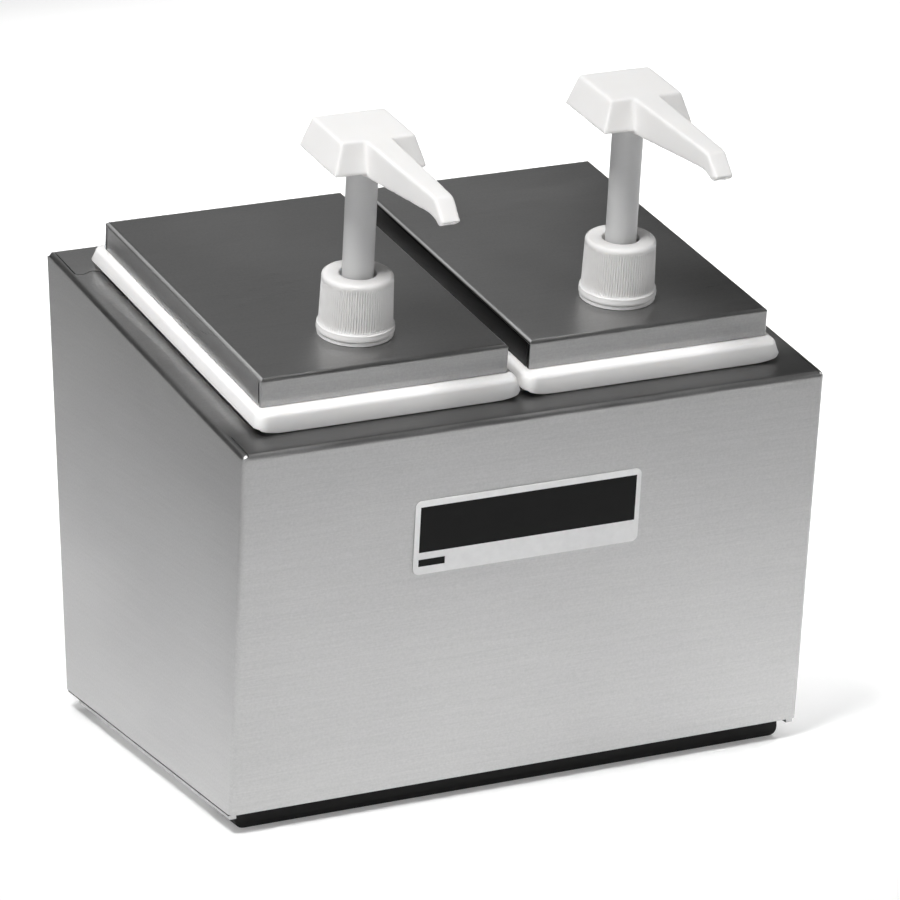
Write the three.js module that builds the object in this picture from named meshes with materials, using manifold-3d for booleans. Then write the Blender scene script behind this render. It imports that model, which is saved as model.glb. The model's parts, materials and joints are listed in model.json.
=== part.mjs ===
// Two-jar condiment pump dispenser: a stainless countertop case with a sloping deck, two plastic
// fountain jars hung in it, and a folded stainless lid with a plastic push pump on each jar.
// Millimetres, +Z up, the spouts point to -Y. The model is centred on its box and stands on z = 0.

import * as THREE from 'three';
import { mergeVertices } from 'three/addons/utils/BufferGeometryUtils.js';
import Module from 'manifold-3d';

const wasm = await Module();
wasm.setup();

// ---------------------------------------------------------------- driving dimensions

const gap = 0.3;                // clearance between pieces that touch
const caseWidth = 300;
const deckSlope = THREE.MathUtils.degToRad(10);   // the deck falls towards the front
const deckLength = 251;         // front edge to back edge, along the slope
const faceLength = 186;         // leaning front face, top edge to bottom edge, square to the deck
const standHeight = 10.5;       // case underside above the counter
const sheet = 1.2;              // stainless sheet of the case

const openingWidth = 268.6;     // cut-out in the deck; its sides end just under the outer rims
const openingFront = 27.5;      // front edge of the deck to the cut-out
const openingLength = 195;
const openingCorner = 8;

const jarPitch = 136.4;         // between the two jar centres
const jarMiddle = 124.8;        // jar centre, measured back along the deck
const rim = { width: 135.4, length: 213.9, height: 9.8, inset: 2.8, corner: 5, lip: 3.2, roof: 3 };
const jar = {
  width: 113, length: 190, footWidth: 101.7, footLength: 175, depth: 165, corner: 14, wall: 2.5,
};

const lid = { width: 125.4, length: 196.4, skirt: 14.2, sheet: 1, hole: 13.4, slit: 0.6, slitPlace: 2.2 };
const lidTop = gap + rim.height + gap + lid.skirt;

const pumpPlace = 62.6;         // pump axis, measured back along the deck
const stroke = 40;              // travel of the head, which the barrel leaves room for
const stem = { radius: 7.5, bore: 4.6, foot: 2 };
const neck = { bore: 10.9, thread: 13.1, bottom: -9, collar: 18.2 };
const nut = { across: 38, height: 5 };
const cap = {
  bottom: 2.3, flange: 18.6, flangeTop: 5.9, edge: 0.6, lower: 17.6, upper: 17,
  shoulder: 28.9, crown: 15.8, top: 30.5, wall: 3.5, bore: 13.5, hole: 8.9,
};
const barrel = {
  radius: 10.5, bore: 8.8, flange: 13.1, flangeHeight: 2, seat: 14.3,
  bottom: -stroke - 38, floor: 4, port: 2, chamfer: 2, socket: 14, socketRadius: 6.4,
};
const collar = { radius: 12.6, play: 0.15 };
const tube = { radius: 4, bore: 2.8, end: -180 };
const piston = { radius: 8.7, top: 1.7, height: 9.7, port: 1.9 };
const ball = { outlet: 2.8, inlet: 3 };
const spring = { wire: 0.6, coils: 7, radius: 7 };
const head = {
  topHalf: 18.4, topBack: -18.5, topFront: 16.4,
  lowHalf: 23.3, lowBack: -22, lowFront: 21.2,
  height: 15.3, wall: 2.4, boss: 9.6, socketDepth: 9, bore: 1.8,
};
const headTop = { left: 103.6, right: 108.4 };    // the left head sits a little lower on its stem
const spout = { rootHalf: 7.5, tipHalf: 4.6, reach: 98.8, rootDrop: 19 };

// The spout's side outline as [forward, height from the head's top], and the path of its bore.
const spoutSide = {
  back: [-7, 0], backFoot: [-7, -spout.rootDrop], root: [5, -spout.rootDrop],
  rootBend: [12, -18.6], belly: [22, -17.2], bellyEnd: [80, -10], tipBend: [90, -8.8],
  tipFoot: [94, -12], tip: [spout.reach, -8.8], brow: [90, -1.6], browBend: [88, 0], top: [84, 0],
};
const passage = [[0, -head.socketDepth], [18, -8.5], [84, -5.2], [91, -7], [98, -14]];

// ---------------------------------------------------------------- materials

const finish = (color, roughness, metalness) =>
  new THREE.MeshStandardMaterial({ color, roughness, metalness });
const steel = finish(0xb4b6b8, 0.38, 0.9);
const lidSteel = finish(0x8c8e90, 0.34, 0.9);
const whitePlastic = finish(0xeceae4, 0.45, 0);
const capPlastic = finish(0xe2e0da, 0.5, 0);
const naturalPlastic = finish(0xd9d9d2, 0.5, 0);
const blackPlastic = finish(0x16171a, 0.7, 0);
const springSteel = finish(0x9a9ca0, 0.3, 1);
const badgeFilm = finish(0xf4f4f2, 0.35, 0);

// ---------------------------------------------------------------- solids

// A three.js geometry as a manifold solid: merge its corners and drop triangles with no area.
function solid(geometry) {
  const bare = new THREE.BufferGeometry();
  bare.setAttribute('position', geometry.getAttribute('position').clone());
  if (geometry.index) bare.setIndex(geometry.index.clone());
  const merged = mergeVertices(bare, 1e-4);
  const index = merged.index.array;
  const triangles = [];
  for (let i = 0; i < index.length; i += 3) {
    const [a, b, c] = [index[i], index[i + 1], index[i + 2]];
    if (a !== b && b !== c && c !== a) triangles.push(a, b, c);
  }
  return new wasm.Manifold(new wasm.Mesh({
    numProp: 3,
    vertProperties: new Float32Array(merged.getAttribute('position').array),
    triVerts: new Uint32Array(triangles),
  }));
}

function geometryOf(body) {
  const mesh = body.getMesh();
  const geometry = new THREE.BufferGeometry();
  geometry.setAttribute('position', new THREE.BufferAttribute(mesh.vertProperties, 3));
  geometry.setIndex(new THREE.BufferAttribute(mesh.triVerts, 1));
  geometry.computeVertexNormals();
  return geometry;
}

function joined(...bodies) {
  return bodies.reduce((whole, body) => whole.add(body));
}

function cut(body, ...tools) {
  return tools.reduce((rest, tool) => rest.subtract(tool), body);
}

// A box from its lowest to its highest corner.
function block(x0, x1, y0, y1, z0, z1) {
  const box = new THREE.BoxGeometry(x1 - x0, y1 - y0, z1 - z0);
  return solid(box.translate((x0 + x1) / 2, (y0 + y1) / 2, (z0 + z1) / 2));
}

function roundedOutline(width, length, radius) {
  const [x, y, r] = [width / 2, length / 2, radius];
  const shape = new THREE.Shape();
  shape.moveTo(x, y - r);
  shape.absarc(x - r, y - r, r, 0, Math.PI / 2, false);
  shape.absarc(r - x, y - r, r, Math.PI / 2, Math.PI, false);
  shape.absarc(r - x, r - y, r, Math.PI, Math.PI * 1.5, false);
  shape.absarc(x - r, r - y, r, Math.PI * 1.5, Math.PI * 2, false);
  shape.closePath();
  return shape;
}

// An outline raised from z0 to z1. Its foot is scaled by footScale, its top keeps full size.
function raised(shape, z0, z1, footScale = [1, 1], curveSegments = 4) {
  const body = new THREE.ExtrudeGeometry(shape, { depth: z1 - z0, bevelEnabled: false, curveSegments });
  const position = body.getAttribute('position');
  for (let i = 0; i < position.count; i += 1) {
    const up = position.getZ(i) / (z1 - z0);
    const scaleX = THREE.MathUtils.lerp(footScale[0], 1, up);
    const scaleY = THREE.MathUtils.lerp(footScale[1], 1, up);
    position.setXYZ(i, position.getX(i) * scaleX, position.getY(i) * scaleY, position.getZ(i) + z0);
  }
  return body;
}

// A closed outline of [radius, height] points turned about Z.
function turned(points, segments) {
  const profile = points.map(([radius, height]) => new THREE.Vector2(radius, height));
  return solid(new THREE.LatheGeometry(profile, segments).rotateX(Math.PI / 2));
}

// A ring or pipe from z0 to z1.
function pipe(outer, inner, z0, z1, segments = 32) {
  return turned([[inner, z0], [outer, z0], [outer, z1], [inner, z1], [inner, z0]], segments);
}

// A round bar from z0 to z1.
function bar(radius, z0, z1, segments = 32) {
  return turned([[0, z0], [radius, z0], [radius, z1], [0, z1]], segments);
}

function mesh(name, body, material) {
  const piece = new THREE.Mesh(geometryOf(body), material);
  piece.name = name;
  return piece;
}

// ---------------------------------------------------------------- frames

const model = new THREE.Group();

// The case stands on its own level; y = 0 is its front bottom edge.
const stand = new THREE.Group();
stand.position.z = standHeight;
model.add(stand);

// The deck frame starts at the deck's front edge: Y runs up the slope, Z stands square to it.
const faceLean = faceLength * Math.sin(deckSlope);
const faceRise = faceLength * Math.cos(deckSlope);
const deck = new THREE.Group();
deck.position.set(0, -faceLean, faceRise);
deck.rotation.x = deckSlope;
stand.add(deck);

const backRise = faceRise + deckLength * Math.sin(deckSlope);
const caseDepth = deckLength * Math.cos(deckSlope) - faceLean;
const half = caseWidth / 2;

// A deck-frame solid moved into the stand's frame, for cuts in the case.
function onDeck(body) {
  return body.rotate([THREE.MathUtils.radToDeg(deckSlope), 0, 0]).translate([0, -faceLean, faceRise]);
}

// ---------------------------------------------------------------- case

// A side outline as [y, z] points, extruded from -halfWidth to +halfWidth along X.
function sideProfile(points, halfWidth) {
  const shape = new THREE.Shape(points.map(([y, z]) => new THREE.Vector2(y, z)));
  const body = new THREE.ExtrudeGeometry(shape, { depth: halfWidth * 2, bevelEnabled: false });
  body.translate(0, 0, -halfWidth);
  const turn = new THREE.Matrix4().set(0, 0, 1, 0, 1, 0, 0, 0, 0, 1, 0, 0, 0, 0, 0, 1);
  return solid(body.applyMatrix4(turn));
}

const lapStart = 224;           // where the back panel's flange meets the side flanges
const room = 20;                // how far a cutting tool runs past what it cuts

function caseShell() {
  const outline = [[0, 0], [caseDepth, 0], [caseDepth, backRise], [-faceLean, faceRise]];
  const outside = sideProfile(outline, half);
  const lean = Math.tan(deckSlope);
  const wallAcross = sheet / Math.cos(deckSlope);
  const front = (z) => wallAcross - z * lean;
  const frontTop = faceRise - wallAcross;
  const roof = (y) => frontTop + (y + faceLean) * lean;
  const corner = onDeckPoint(sheet, -sheet);
  const inside = sideProfile([
    [front(-room), -room],
    [caseDepth + room, -room],
    [caseDepth + room, roof(caseDepth + room)],
    corner,
  ], half - sheet);
  const deckHole = raised(roundedOutline(openingWidth, openingLength, openingCorner), -room, room);
  deckHole.translate(0, openingFront + openingLength / 2, 0);
  const rearSeat = block(-half - room, half + room, lapStart - gap, deckLength + room, -sheet - gap, room);
  return cut(outside, inside, onDeck(solid(deckHole)), onDeck(rearSeat));
}

// A deck-frame [u, n] point as [y, z] in the stand's frame.
function onDeckPoint(u, n) {
  return [
    -faceLean + u * Math.cos(deckSlope) - n * Math.sin(deckSlope),
    faceRise + u * Math.sin(deckSlope) + n * Math.cos(deckSlope),
  ];
}

const rearTab = 14;             // side tabs of the back panel, front to back

// Everything that stands more than this height off the deck.
function above(height) {
  return onDeck(block(-half - room, half + room, -room, deckLength + room * 2, height, room * 3));
}

// A box on one side of the middle plane, from x = inner out to x = outer.
function sideBlock(side, inner, outer, y0, y1, z0, z1) {
  const [x0, x1] = side < 0 ? [-outer, -inner] : [inner, outer];
  return block(x0, x1, y0, y1, z0, z1);
}

// The back wall, its flange over the rear of the deck, and its tabs inside the case sides.
function rearPanel() {
  const inner = half - sheet - gap;
  const end = backRise + room;
  const wall = block(-inner, inner, caseDepth - sheet, caseDepth, 0, end);
  const flange = onDeck(block(-half, half, lapStart, deckLength + room, -sheet, 0));
  const tabs = [-1, 1].map((side) => (
    sideBlock(side, inner - sheet, inner, caseDepth - rearTab, caseDepth, 0, end)));
  const behind = block(-half - room, half + room, caseDepth, caseDepth + room * 3, -room, end + room);
  const trimmedTabs = cut(joined(...tabs), above(-sheet - gap));
  return cut(joined(cut(wall, above(0)), flange, trimmedTabs), behind);
}

const hem = { drop: 2.8, height: 1.9, front: 3, back: 178, width: 3.4, inset: 0.8 };
const pan = { front: 12, back: 200, flange: 14 };
const railScrew = {
  x: 110, front: 26, rear: 190, shank: 1.6, tip: 4, recess: 4,
  headFoot: 2.6, head: 3.4, headLow: 1, headEdge: 1.9, headTop: 3.6,
};
const screwPlaces = [-railScrew.x, railScrew.x].flatMap((x) => [
  [x, railScrew.front],
  [x, railScrew.rear],
]);

// The case floor, with side flanges and a hem under each side.
function bottomPan() {
  const edge = half - hem.inset;
  const inner = half - sheet - gap * 2;
  const floor = block(-edge, edge, pan.front, pan.back, -hem.drop, -hem.drop + sheet);
  const sides = [-1, 1].flatMap((side) => [
    sideBlock(side, edge - hem.width, edge, hem.front, hem.back, -hem.drop, hem.height - hem.drop),
    sideBlock(side, inner - sheet, inner, pan.front, pan.back, -hem.drop, pan.flange),
  ]);
  const hole = bar(railScrew.shank + gap, -room, room, 12);
  const holes = screwPlaces.map(([x, y]) => hole.translate([x, y, 0]));
  return cut(joined(floor, ...sides), ...holes);
}

const rail = { foot: 141.6, shoulder: 145.6, front: 9.2, depth: 30, lip: 2.4, end: 5, bulge: 1 };
const rearRail = { foot: 125, shoulder: 127, front: 178, depth: 24 };

// The strip's long outline, with rounded lower ends.
function railOutline(footHalf, shoulderHalf, top) {
  const shape = new THREE.Shape();
  shape.moveTo(-footHalf, 0);
  shape.lineTo(footHalf, 0);
  shape.quadraticCurveTo(footHalf + rail.bulge, rail.end, shoulderHalf, top);
  shape.lineTo(-shoulderHalf, top);
  shape.quadraticCurveTo(-footHalf - rail.bulge, rail.end, -footHalf, 0);
  return shape;
}

function railBody(outline, y0, depth) {
  const body = new THREE.ExtrudeGeometry(outline, { depth, bevelEnabled: false, curveSegments: 5 });
  return solid(body.rotateX(Math.PI / 2).translate(0, y0 + depth, -standHeight));
}

function railHoles(y) {
  const [low, top] = [-standHeight, -hem.drop - gap];
  return [-1, 1].flatMap((s) => [
    bar(railScrew.shank + gap, low - room, top + room, 12).translate([s * railScrew.x, y, 0]),
    bar(railScrew.head + gap, low - room, low + railScrew.recess, 16).translate([s * railScrew.x, y, 0]),
  ]);
}

function frontRail() {
  const strip = railBody(railOutline(rail.foot, rail.shoulder, standHeight - gap), rail.front, rail.depth);
  const panSeat = block(-half, half, rail.front + rail.lip, room * 3, -hem.drop - gap, room);
  const hemSeats = [-1, 1].map((side) => (
    sideBlock(side, rail.shoulder - rail.end, half, -room, room * 3, -hem.drop - gap, room)));
  return cut(strip, panSeat, ...hemSeats, ...railHoles(railScrew.front));
}

function rearRailBody() {
  const outline = railOutline(rearRail.foot, rearRail.shoulder, standHeight - hem.drop - gap);
  const strip = railBody(outline, rearRail.front, rearRail.depth);
  return cut(strip, ...railHoles(railScrew.rear));
}

function railScrewBody() {
  const [low, edge, top] = [railScrew.headLow, railScrew.headEdge, railScrew.headTop];
  const headCap = turned([
    [0, low], [railScrew.headFoot, low], [railScrew.head, edge], [railScrew.head, top], [0, top],
  ], 16).translate([0, 0, -standHeight]);
  return joined(bar(railScrew.shank, low - standHeight, railScrew.tip, 12), headCap);
}

const hat = { half: 8, drop: 12, frontTab: 14, rearTab: 12, lap: 4 };

// The hat rail under the meeting rims; its end tabs reach under the deck flanges.
function centerRail() {
  const [a, b] = [openingFront + gap, openingFront + openingLength - gap];
  const under = -sheet - gap;
  return joined(
    block(-hat.half, hat.half, a, b, -sheet, 0),
    block(-hat.half, sheet - hat.half, a, b, -hat.drop, 0),
    block(hat.half - sheet, hat.half, a, b, -hat.drop, 0),
    block(-hat.half, hat.half, a - hat.frontTab, a + hat.lap, under - sheet, under),
    block(-hat.half, hat.half, b - hat.lap, b + hat.rearTab, under - sheet, under),
  );
}

const badge = { left: -62.2, width: 116.8, height: 38.2, below: 35.7, thick: 0.8, corner: 3 };

// The badge lies on the leaning front face, in the deck frame's X-Z plane.
function badgePlate() {
  const plate = raised(roundedOutline(badge.width, badge.height, badge.corner), 0, badge.thick);
  const [x, z] = [badge.left + badge.width / 2, -badge.below - badge.height / 2];
  return solid(plate.rotateX(Math.PI / 2)).translate([x, -gap, z]);
}

stand.add(mesh('case_shell', caseShell(), steel));
stand.add(mesh('rear_panel', rearPanel(), steel));
stand.add(mesh('bottom_pan', bottomPan(), steel));
stand.add(mesh('front_rail', frontRail(), blackPlastic));
stand.add(mesh('rear_rail', rearRailBody(), blackPlastic));
deck.add(mesh('center_rail', centerRail(), steel));
deck.add(mesh('badge_plate', badgePlate(), badgeFilm));
screwPlaces.forEach(([x, y], i) => {
  const screw = mesh(`rail_screw_${i + 1}`, railScrewBody(), springSteel);
  screw.position.set(x, y, 0);
  stand.add(screw);
});

// ---------------------------------------------------------------- jar

// The jar hangs by its rim: a tapered tub with an out-turned, down-turned rim.
function jarBody() {
  const [low, high] = [gap, gap + rim.height];
  const [topWidth, topLength] = [rim.width - rim.inset * 2, rim.length - rim.inset * 2];
  const flare = [rim.width / topWidth, rim.length / topLength];
  const outside = roundedOutline(topWidth, topLength, rim.corner);
  const inside = roundedOutline(topWidth - rim.lip * 2, topLength - rim.lip * 2, rim.corner - 2);
  const outer = solid(raised(outside, low, high, flare, 6));
  const under = solid(raised(inside, -room, high - rim.roof, flare));
  const taper = [jar.footWidth / jar.width, jar.footLength / jar.length];
  const tubOutline = roundedOutline(jar.width, jar.length, jar.corner);
  const tub = solid(raised(tubOutline, -jar.depth, high, taper));
  const [mouthWidth, mouthLength] = [jar.width - jar.wall * 2, jar.length - jar.wall * 2];
  const mouth = roundedOutline(mouthWidth, mouthLength, jar.corner - jar.wall);
  const hollow = solid(raised(mouth, jar.wall - jar.depth, high + room, taper));
  return cut(joined(cut(outer, under), tub), hollow);
}

// ---------------------------------------------------------------- lid

// A folded tray, open below. A slit near each corner parts the side skirts from the end skirts.
function lidBody(pumpY) {
  const [w, l] = [lid.width / 2, lid.length / 2];
  const bottom = lidTop - lid.skirt;
  const tray = cut(
    block(-w, w, -l, l, bottom, lidTop),
    block(lid.sheet - w, w - lid.sheet, lid.sheet - l, l - lid.sheet, bottom - room, lidTop - lid.sheet),
  );
  const slits = [[-1, -1], [1, -1], [-1, 1], [1, 1]].map(([sx, sy]) => {
    const [x, y] = [sx * w, sy * (l - lid.slitPlace)];
    return block(x - lid.sheet * 1.2, x + lid.sheet * 1.2, y - lid.slit / 2, y + lid.slit / 2,
      bottom - room, lidTop - lid.sheet * 2);
  });
  return cut(tray, ...slits, bar(lid.hole, 0, room * 3, 32).translate([0, pumpY, 0]));
}

// ---------------------------------------------------------------- pump, heights from the lid's top face

// A threaded neck through the lid, with a collar that rests on the lid.
function neckBushing() {
  const collarTop = cap.bottom - gap;
  const top = barrel.seat - gap;
  return turned([
    [neck.bore, neck.bottom], [neck.thread, neck.bottom], [neck.thread, gap], [neck.collar, gap],
    [neck.collar, collarTop], [neck.thread, collarTop], [neck.thread, top], [neck.bore, top],
    [neck.bore, neck.bottom],
  ], 32);
}

function neckNut() {
  const middle = -lid.sheet - gap - nut.height / 2;
  const prism = new THREE.CylinderGeometry(nut.across / 2, nut.across / 2, nut.height, 6);
  const body = solid(prism.rotateX(Math.PI / 2).translate(0, 0, middle));
  return cut(body, bar(neck.thread + gap, -room, room, 32));
}

// Screw cap: a smooth foot flange, a ribbed wall and a chamfered top with the stem hole.
function pumpCap() {
  const crown = cap.top - cap.wall;
  return turned([
    [cap.bore, cap.bottom], [cap.flange - cap.edge, cap.bottom], [cap.flange, cap.bottom + cap.edge],
    [cap.flange, cap.flangeTop - cap.edge], [cap.lower, cap.flangeTop], [cap.upper, cap.shoulder],
    [cap.crown, cap.top], [cap.hole, cap.top], [cap.hole, crown], [cap.bore, crown],
    [cap.bore, cap.bottom],
  ], 40);
}

// A cylinder hung from its flange, with a ported floor and a socket for the dip tube.
function pumpBarrel() {
  const [top, low] = [barrel.seat + barrel.flangeHeight, barrel.bottom];
  const socketRadius = tube.radius + gap;
  const socketEnd = low - barrel.socket;
  return turned([
    [barrel.bore, top], [barrel.bore, low + barrel.floor], [barrel.port, low + barrel.floor],
    [barrel.port, low], [socketRadius, low], [socketRadius, socketEnd], [barrel.socketRadius, socketEnd],
    [barrel.socketRadius, low - barrel.chamfer], [barrel.radius, low + barrel.chamfer],
    [barrel.radius, barrel.seat], [barrel.flange, barrel.seat], [barrel.flange, top], [barrel.bore, top],
  ], 32);
}

function guideCollar() {
  const foot = barrel.seat + barrel.flangeHeight + gap;
  return pipe(collar.radius, stem.radius + collar.play, foot, cap.top - cap.wall - gap, 28);
}

function pumpStem(top) {
  return pipe(stem.radius, stem.bore, stem.foot, top - head.socketDepth - gap, 28);
}

function pistonBody() {
  return pipe(piston.radius, piston.port, piston.top - piston.height, piston.top, 28);
}

function checkBall(radius, port, seat) {
  const lift = Math.sqrt(radius * radius - port * port);
  return solid(new THREE.SphereGeometry(radius, 10, 6)).translate([0, 0, seat + lift + gap]);
}

class Helix extends THREE.Curve {
  constructor(radius, bottom, top, turns) {
    super();
    Object.assign(this, { radius, bottom, top, turns });
  }

  getPoint(t, target = new THREE.Vector3()) {
    const angle = t * this.turns * Math.PI * 2;
    const height = THREE.MathUtils.lerp(this.bottom, this.top, t);
    return target.set(this.radius * Math.cos(angle), this.radius * Math.sin(angle), height);
  }
}

function pumpSpring() {
  const bottom = barrel.bottom + barrel.floor + gap + spring.wire;
  const top = piston.top - piston.height - gap - spring.wire;
  const section = new THREE.Shape();
  section.absarc(0, 0, spring.wire, 0, Math.PI * 2, false);
  const path = new Helix(spring.radius, bottom, top, spring.coils);
  const coil = { steps: spring.coils * 10, extrudePath: path, curveSegments: 3 };
  return solid(new THREE.ExtrudeGeometry(section, coil));
}

function dipTube() {
  return pipe(tube.radius, tube.bore, tube.end, barrel.bottom - gap, 16);
}

// The spout's side outline given width, narrowed towards its tip.
function spoutBody() {
  const shape = new THREE.Shape();
  shape.moveTo(...spoutSide.back);
  shape.lineTo(...spoutSide.backFoot);
  shape.lineTo(...spoutSide.root);
  shape.quadraticCurveTo(...spoutSide.rootBend, ...spoutSide.belly);
  shape.lineTo(...spoutSide.bellyEnd);
  shape.quadraticCurveTo(...spoutSide.tipBend, ...spoutSide.tipFoot);
  shape.lineTo(...spoutSide.tip);
  shape.lineTo(...spoutSide.brow);
  shape.quadraticCurveTo(...spoutSide.browBend, ...spoutSide.top);
  shape.closePath();
  const body = new THREE.ExtrudeGeometry(shape, { depth: 2, bevelEnabled: false, curveSegments: 5 });
  const position = body.getAttribute('position');
  for (let i = 0; i < position.count; i += 1) {
    const [forward, height, side] = [position.getX(i), position.getY(i), position.getZ(i) - 1];
    const along = Math.max(0, forward) / spout.reach;
    const halfWidth = THREE.MathUtils.lerp(spout.rootHalf, spout.tipHalf, along);
    position.setXYZ(i, -side * halfWidth, -forward, height);
  }
  return solid(body);
}

// A block with a small top and a larger foot, from its top rectangle down to its foot rectangle.
function hood(shrink, top, bottom) {
  const corner = (halfSpan, y, z) => [[-halfSpan, y, z], [halfSpan, y, z]];
  const points = [
    ...corner(head.topHalf - shrink, head.topBack + shrink, top),
    ...corner(head.topHalf - shrink, head.topFront - shrink, top),
    ...corner(head.lowHalf - shrink, head.lowBack + shrink, bottom),
    ...corner(head.lowHalf - shrink, head.lowFront - shrink, bottom),
  ].map(([x, forward, z]) => new THREE.Vector3(x, -forward, z));
  const quads = [[0, 2, 3, 1], [4, 5, 7, 6], [0, 4, 6, 2], [1, 3, 7, 5], [2, 6, 7, 3], [0, 1, 5, 4]];
  const faces = quads.flatMap(([a, b, c, d]) => [a, b, c, a, c, d]);
  const geometry = new THREE.BufferGeometry().setFromPoints(points);
  geometry.setIndex(faces);
  return solid(geometry);
}

function spoutPassage() {
  const points = passage.map(([forward, height]) => new THREE.Vector3(0, -forward, height));
  const path = new THREE.CatmullRomCurve3(points);
  const section = new THREE.Shape();
  section.absarc(0, 0, head.bore, 0, Math.PI * 2, false);
  return solid(new THREE.ExtrudeGeometry(section, { steps: 24, extrudePath: path, curveSegments: 4 }));
}

function pumpHead() {
  const shell = cut(hood(0, 0, -head.height), hood(head.wall, -head.wall, -head.height - gap));
  const boss = bar(head.boss, -spout.rootDrop, -head.wall / 2, 32);
  const socket = bar(stem.radius + gap, -spout.rootDrop - room, -head.socketDepth, 32);
  return cut(joined(shell, boss, spoutBody()), socket, spoutPassage());
}

// ---------------------------------------------------------------- one station: jar, lid and pump

function station(side) {
  const group = new THREE.Group();
  group.position.set((side === 'left' ? -1 : 1) * (jarPitch / 2), jarMiddle, 0);
  const pumpY = pumpPlace - jarMiddle;
  const add = (parent, name, body, material) => parent.add(mesh(`${side}_${name}`, body, material));
  add(group, 'jar', jarBody(), whitePlastic);
  add(group, 'lid', lidBody(pumpY), lidSteel);

  const pump = new THREE.Group();
  pump.position.set(0, pumpY, lidTop);
  group.add(pump);
  const top = headTop[side];
  add(pump, 'neck_bushing', neckBushing(), whitePlastic);
  add(pump, 'neck_nut', neckNut(), whitePlastic);
  add(pump, 'pump_cap', pumpCap(), capPlastic);
  add(pump, 'pump_barrel', pumpBarrel(), naturalPlastic);
  add(pump, 'guide_collar', guideCollar(), capPlastic);
  add(pump, 'pump_stem', pumpStem(top), capPlastic);
  add(pump, 'piston', pistonBody(), naturalPlastic);
  add(pump, 'outlet_ball', checkBall(ball.outlet, piston.port, piston.top), springSteel);
  const inletBall = checkBall(ball.inlet, barrel.port, barrel.bottom + barrel.floor);
  add(pump, 'inlet_ball', inletBall, springSteel);
  add(pump, 'pump_spring', pumpSpring(), springSteel);
  add(pump, 'dip_tube', dipTube(), naturalPlastic);
  const headGroup = new THREE.Group();
  headGroup.position.z = top;
  pump.add(headGroup);
  add(headGroup, 'pump_head', pumpHead(), whitePlastic);
  return group;
}

deck.add(station('left'));
deck.add(station('right'));

// ---------------------------------------------------------------- centre the model on its box

model.updateMatrixWorld(true);
const box = new THREE.Box3().setFromObject(model, true);
model.position.y = -(box.min.y + box.max.y) / 2;

export default model;
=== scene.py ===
import functools
import json
import math
import bmesh
import bpy
from mathutils import Matrix, Vector


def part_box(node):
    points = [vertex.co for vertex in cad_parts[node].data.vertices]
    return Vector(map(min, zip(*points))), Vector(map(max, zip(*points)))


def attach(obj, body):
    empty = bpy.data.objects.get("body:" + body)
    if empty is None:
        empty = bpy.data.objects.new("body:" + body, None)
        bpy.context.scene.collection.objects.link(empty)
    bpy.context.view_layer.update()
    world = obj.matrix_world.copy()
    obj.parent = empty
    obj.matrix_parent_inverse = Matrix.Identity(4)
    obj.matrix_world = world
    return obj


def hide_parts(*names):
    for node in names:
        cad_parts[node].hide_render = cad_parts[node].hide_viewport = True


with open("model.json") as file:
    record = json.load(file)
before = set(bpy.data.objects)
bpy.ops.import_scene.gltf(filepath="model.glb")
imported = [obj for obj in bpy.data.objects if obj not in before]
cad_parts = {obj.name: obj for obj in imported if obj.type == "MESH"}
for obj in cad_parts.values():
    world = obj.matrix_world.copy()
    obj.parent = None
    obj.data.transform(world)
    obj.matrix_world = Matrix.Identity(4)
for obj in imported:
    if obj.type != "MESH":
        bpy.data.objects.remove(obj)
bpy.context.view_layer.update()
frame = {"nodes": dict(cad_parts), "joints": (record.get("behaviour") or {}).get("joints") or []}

# Two-jar condiment pump dispenser. Shapes are written in millimetres in three local frames:
# ROW (the row frame itself), DECK (x across, y up the deck's slope, z square to the deck, origin
# at the middle of the deck's front edge) and one frame for each jar and each pump on the deck.

MM = 0.001
SIDES = ("left", "right")
joints = {joint["name"]: joint for joint in frame["joints"]}

# ---------------------------------------------------------------- frames read from the CAD

case_low, case_high = [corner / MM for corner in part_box("case_shell")]
rear_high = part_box("rear_panel")[1] / MM

normal = Vector(joints["left_jar_lift"]["axis"]).normalized()
across = Vector((1, 0, 0))
up_slope = normal.cross(across)
slope = math.atan2(up_slope.z, up_slope.y)
deck_rise = (rear_high.y - case_low.y) * math.tan(slope)
deck_front = Vector((0, case_low.y, rear_high.z - deck_rise))

ROW = Matrix.Scale(MM, 4)
TILT = Matrix((across, up_slope, normal)).transposed().to_4x4()
DECK = ROW @ Matrix.Translation(deck_front) @ TILT
UPRIGHT = Matrix(((1, 0, 0, 0), (0, 0, -1, 0), (0, 1, 0, 0), (0, 0, 0, 1)))   # y to z, z to -y


def deck_box(name):
    """A CAD node's lowest and highest corner in the deck frame, in millimetres."""
    to_deck = DECK.inverted()
    points = [to_deck @ vertex.co for vertex in frame["nodes"][name].data.vertices]
    low = Vector([min(p[i] for p in points) for i in range(3)])
    high = Vector([max(p[i] for p in points) for i in range(3)])
    return low, high


def deck_depth(up):
    """The y in the row frame of a point that far up the deck's slope."""
    return (deck_front + up_slope * up).y


# ---------------------------------------------------------------- mesh helpers

def piece(name, bm, place, smooth_angle=35):
    """An object from a bmesh in a local frame, its vertices moved into the row frame."""
    bmesh.ops.transform(bm, matrix=place, verts=bm.verts)
    data = bpy.data.meshes.new(name)
    bm.to_mesh(data)
    bm.free()
    obj = bpy.data.objects.new(name, data)
    bpy.context.scene.collection.objects.link(obj)
    shade(obj, smooth_angle)
    return obj


def shade(obj, smooth_angle):
    """Smooth shading, with edges sharper than the angle kept hard."""
    obj.data.shade_smooth()
    obj.data.set_sharp_from_angle(angle=math.radians(smooth_angle))


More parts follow.
